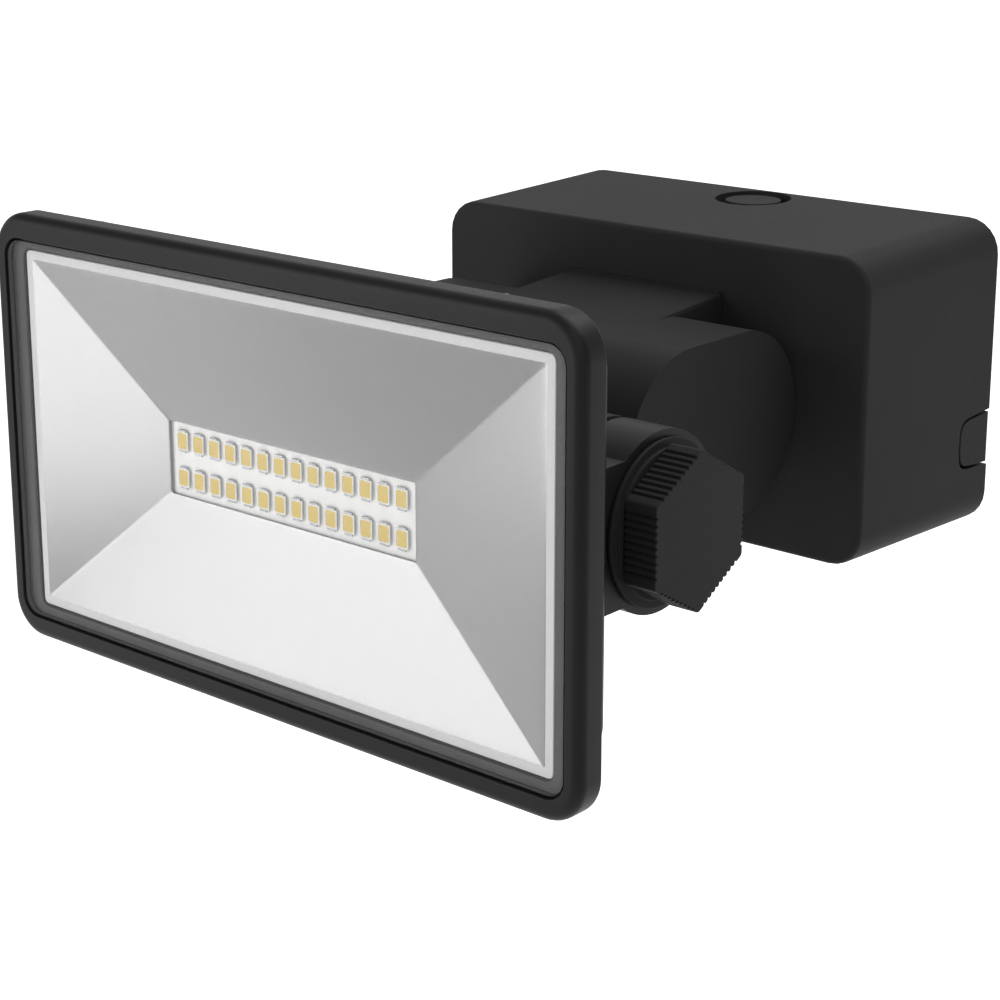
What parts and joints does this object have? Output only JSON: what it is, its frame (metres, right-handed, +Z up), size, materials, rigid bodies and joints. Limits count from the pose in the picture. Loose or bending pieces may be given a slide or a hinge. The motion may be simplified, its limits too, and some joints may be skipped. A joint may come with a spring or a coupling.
{
  "type": "floodlight security camera",
  "caption": "Wall-box LED floodlight: a glazed lamp head tilts on a hinge with a hand knob, on an arm that swivels on a box with cable entries.",
  "frame": {"origin": "centre of the wall plate's back face, which lies on the wall", "axes": "+Y into the wall, so the lamp looks along -Y; +X to the right as seen from the front; +Z up"},
  "size_m": [0.1746, 0.1926, 0.1026],
  "materials": {
    "black_coated_aluminium": "fine matt black powder coat",
    "black_plastic_shell": "fine-textured matt black moulding",
    "black_plastic_arm": "fine-textured matt black moulding",
    "black_plastic_trim": "matt black moulding",
    "black_plastic_knob": "matt black moulding",
    "black_rubber": "dull black rubber",
    "zinc_steel": "zinc plated",
    "driver_grey": "matt grey case",
    "terminal_white": "satin off-white moulding",
    "lead_brown": "brown insulation",
    "lead_blue": "blue insulation",
    "clear_glass": "clear toughened glass",
    "reflector_white": "satin white",
    "board_white": "white solder mask",
    "phosphor_yellow": "yellow phosphor in white packages",
    "pad_grey": "soft grey pad"
  },
  "bodies": {
    "wall_box": {"box_housing": "black_plastic_shell", "wall_plate": "black_plastic_trim", "box_gasket": "black_rubber", "top_entry_plug": "black_plastic_trim", "side_entry_insert_right": "black_plastic_trim", "side_entry_insert_left": "black_plastic_trim", "cover_screw_right": "zinc_steel", "cover_screw_left": "zinc_steel", "led_driver": "driver_grey", "terminal_block": "terminal_white", "live_lead": "lead_brown", "neutral_lead": "lead_blue"},
    "arm": {"swivel_arm": "black_plastic_arm", "swivel_lock_nut": "black_plastic_trim"},
    "head": {"head_housing": "black_coated_aluminium", "head_frame": "black_coated_aluminium", "glass_lens": "clear_glass", "lens_seal": "black_rubber", "reflector": "reflector_white", "led_board": "board_white", "led_row_upper": "phosphor_yellow", "led_row_lower": "phosphor_yellow", "thermal_pad": "pad_grey", "tilt_bolt": "zinc_steel", "friction_washer_right": "black_rubber", "friction_washer_left": "black_rubber", "knob_washer": "black_plastic_trim", "head_screw_top_right": "zinc_steel", "head_screw_top_left": "zinc_steel", "head_screw_bottom_left": "zinc_steel", "head_screw_bottom_right": "zinc_steel"},
    "knob": {"tilt_knob": "black_plastic_knob"}
  },
  "joints": [
    {"name": "arm_swivel", "type": "hinge", "parent": "wall_box", "child": "arm", "pos_m": [0, -0.0585, 0], "axis": [0, 1, 0], "range_deg": [-90, 90]},
    {"name": "head_tilt", "type": "hinge", "parent": "arm", "child": "head", "pos_m": [0, -0.1537, 0], "axis": [1, 0, 0], "range_deg": [-70, 70]},
    {"name": "knob_turn", "type": "hinge", "parent": "head", "child": "knob", "pos_m": [0.0867, -0.1537, 0], "axis": [1, 0, 0], "range_deg": [0, 720]}
  ]
}
